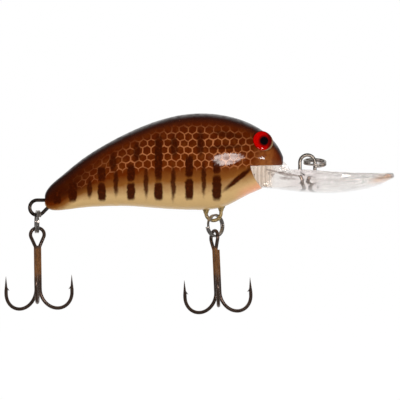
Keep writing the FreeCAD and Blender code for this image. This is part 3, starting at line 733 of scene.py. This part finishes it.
def dress_nodes():
    paint(body_paint(), "left_body_half", "right_body_half")
    paint(eye_paint(), "left_eye", "right_eye")
    plastic = clear_plastic()
    paint(plastic, "diving_lip")
    add_lip_shoulder(plastic)
    nickel = worn_metal("nickel", srgb(196, 190, 184), srgb(146, 140, 133), 0.15, 0.05)
    paint(nickel, "line_tie_split_ring", "belly_split_ring", "tail_split_ring")
    steel = worn_metal("steel_wire", srgb(172, 166, 158), srgb(122, 116, 108), 0.24, 0.06)
    paint(steel, "line_tie_wire")
    dark_wire = worn_metal("dark_wire", srgb(92, 82, 76), srgb(46, 36, 32), 0.3, 0.07)
    paint(dark_wire, "tail_hanger_wire")
    sprayed = overpainted_wire()
    paint(sprayed, "belly_hanger_wire")
    add_paint_collars(sprayed)
    paint(hook_wire(), "belly_double_hook", "belly_single_hook", "tail_double_hook",
          "tail_single_hook")
    copper = worn_metal("braze_copper", srgb(140, 88, 54), srgb(92, 54, 32), 0.42, 0.08)
    paint(copper, "belly_hook_braze", "tail_hook_braze")
    lead = worn_metal("dull_lead", srgb(120, 122, 126), srgb(84, 86, 92), 0.55, 0.1)
    paint(lead, "ballast_weight")
    ball = worn_metal("ball_steel", srgb(205, 205, 208), srgb(180, 180, 184), 0.12, 0.04)
    paint(ball, "rattle_ball_front", "rattle_ball_middle", "rattle_ball_rear")


# Stage

def add_camera():
    data = bpy.data.cameras.new("camera")
    data.sensor_fit = "HORIZONTAL"
    data.sensor_width = SENSOR_WIDTH
    data.lens = SENSOR_WIDTH * CAMERA_DISTANCE / (PHOTO_WIDTH * PIXEL)
    camera = bpy.data.objects.new("camera", data)
    bpy.context.scene.collection.objects.link(camera)
    middle = PHOTO_WIDTH / 2
    target = Vector(((middle - LINE_TIE_PIXEL[0]) * PIXEL, 0, (LINE_TIE_PIXEL[1] - middle) * PIXEL))
    rise = math.radians(CAMERA_RISE)
    camera.location = target + Vector((0, -math.cos(rise), math.sin(rise))) * CAMERA_DISTANCE
    camera.rotation_euler = (math.pi / 2 - rise, 0, 0)
    bpy.context.scene.camera = camera
    return camera


def add_world():
    """White behind the lure, and dimmer where its front would mirror the room."""
    world = bpy.data.worlds.new("world")
    world.use_nodes = True
    bpy.context.scene.world = world
    shader = Shader("world", world.node_tree)
    direction = shader.node("ShaderNodeTexCoord").outputs["Generated"]
    ahead = shader.split(direction)[1]
    path = shader.node("ShaderNodeLightPath")
    through = shader.sum("GREATER_THAN", path.outputs["Transmission Depth"], 0.5)
    front = shader.sum("MULTIPLY_ADD", through, FRONT_THROUGH_PLASTIC - FRONT_REFLECTION,
                       FRONT_REFLECTION)
    mirrored = shader.step(ahead, *FRONT_TO_BACK, front, BACK_REFLECTION)
    level = shader.sum("MAXIMUM", path.outputs["Is Camera Ray"], path.outputs["Is Transmission Ray"])
    glossy = path.outputs["Is Glossy Ray"]
    plain = shader.sum("MULTIPLY_ADD", shader.sum("SUBTRACT", mirrored, WORLD_LEVEL), glossy,
                       WORLD_LEVEL)
    strength = shader.sum("MAXIMUM", level, plain)
    background = shader.node("ShaderNodeBackground")
    background.inputs["Color"].default_value = (1, 1, 1, 1)
    shader.feed(background.inputs["Strength"], strength)
    output = shader.node("ShaderNodeOutputWorld")
    shader.tree.links.new(background.outputs[0], output.inputs["Surface"])


def add_floor():
    """A pale floor well below the lure: white to the camera, and a little darker in the shadow."""
    low = CAD_BOX[0][2] - FLOOR_DROP
    mesh = bpy.data.meshes.new("floor")
    corners = [(across * FLOOR_REACH, along * FLOOR_REACH, low)
               for across, along in ((-1, -1), (1, -1), (1, 1), (-1, 1))]
    mesh.from_pydata(corners, [], [(0, 1, 2, 3)])
    floor = bpy.data.objects.new("floor", mesh)
    bpy.context.scene.collection.objects.link(floor)
    floor.visible_glossy = False
    shader = Shader("pale_floor")
    path = shader.node("ShaderNodeLightPath")
    seen = shader.sum("MAXIMUM", path.outputs["Is Camera Ray"],
                      path.outputs["Is Transmission Ray"])
    diffuse = shader.node("ShaderNodeBsdfDiffuse")
    shader.feed(diffuse.inputs["Color"], shader.step(seen, 0, 1, FLOOR_PALE, FLOOR_SHADE))
    glow = shader.node("ShaderNodeEmission")
    glow.inputs["Color"].default_value = (1, 1, 1, 1)
    shader.feed(glow.inputs["Strength"], shader.sum("MULTIPLY", seen, FLOOR_GLOW))
    both = shader.node("ShaderNodeAddShader")
    shader.tree.links.new(diffuse.outputs[0], both.inputs[0])
    shader.tree.links.new(glow.outputs[0], both.inputs[1])
    output = shader.node("ShaderNodeOutputMaterial")
    shader.tree.links.new(both.outputs[0], output.inputs["Surface"])
    mesh.materials.append(shader.material)


def add_lamp(name, place, target, size, power, colour=(1, 1, 1), mirrored=True):
    data = bpy.data.lights.new(name, "AREA")
    data.shape = "ELLIPSE"
    data.size, data.size_y = size
    data.energy = power
    data.color = colour
    lamp = bpy.data.objects.new(name, data)
    bpy.context.scene.collection.objects.link(lamp)
    lamp.location = place
    lamp.rotation_euler = (target - place).to_track_quat("-Z", "Y").to_euler()
    lamp.visible_glossy = mirrored
    return lamp


def add_mirrored_lamp(camera, name, reflects_at, size, power, colour):
    """A softbox placed so that the flank mirrors it at this place."""
    x, z = (value * MM for value in reflects_at)
    spot, normal, _, _ = SHELL.ray_cast(Vector((x, -RAY_START, z)), Vector((0, 1, 0)))
    sight = (camera.location - spot).normalized()
    mirrored = 2 * normal.dot(sight) * normal - sight
    add_lamp(name, spot + mirrored * KEY_DISTANCE, spot, size, power, colour)


def add_lights(camera):
    add_mirrored_lamp(camera, "key", KEY_REFLECTS_AT, KEY_SIZE, KEY_POWER, KEY_COLOUR)
    add_mirrored_lamp(camera, "glint", GLINT_REFLECTS_AT, GLINT_SIZE, GLINT_POWER, (1, 1, 1))
    middle = (Vector(CAD_BOX[0]) + Vector(CAD_BOX[1])) / 2
    add_lamp("top", middle + Vector(TOP_OFFSET), middle, TOP_SIZE, TOP_POWER, mirrored=False)


dress_nodes()
bpy.context.scene.view_settings.view_transform = "Standard"
add_world()
add_floor()
add_lights(add_camera())
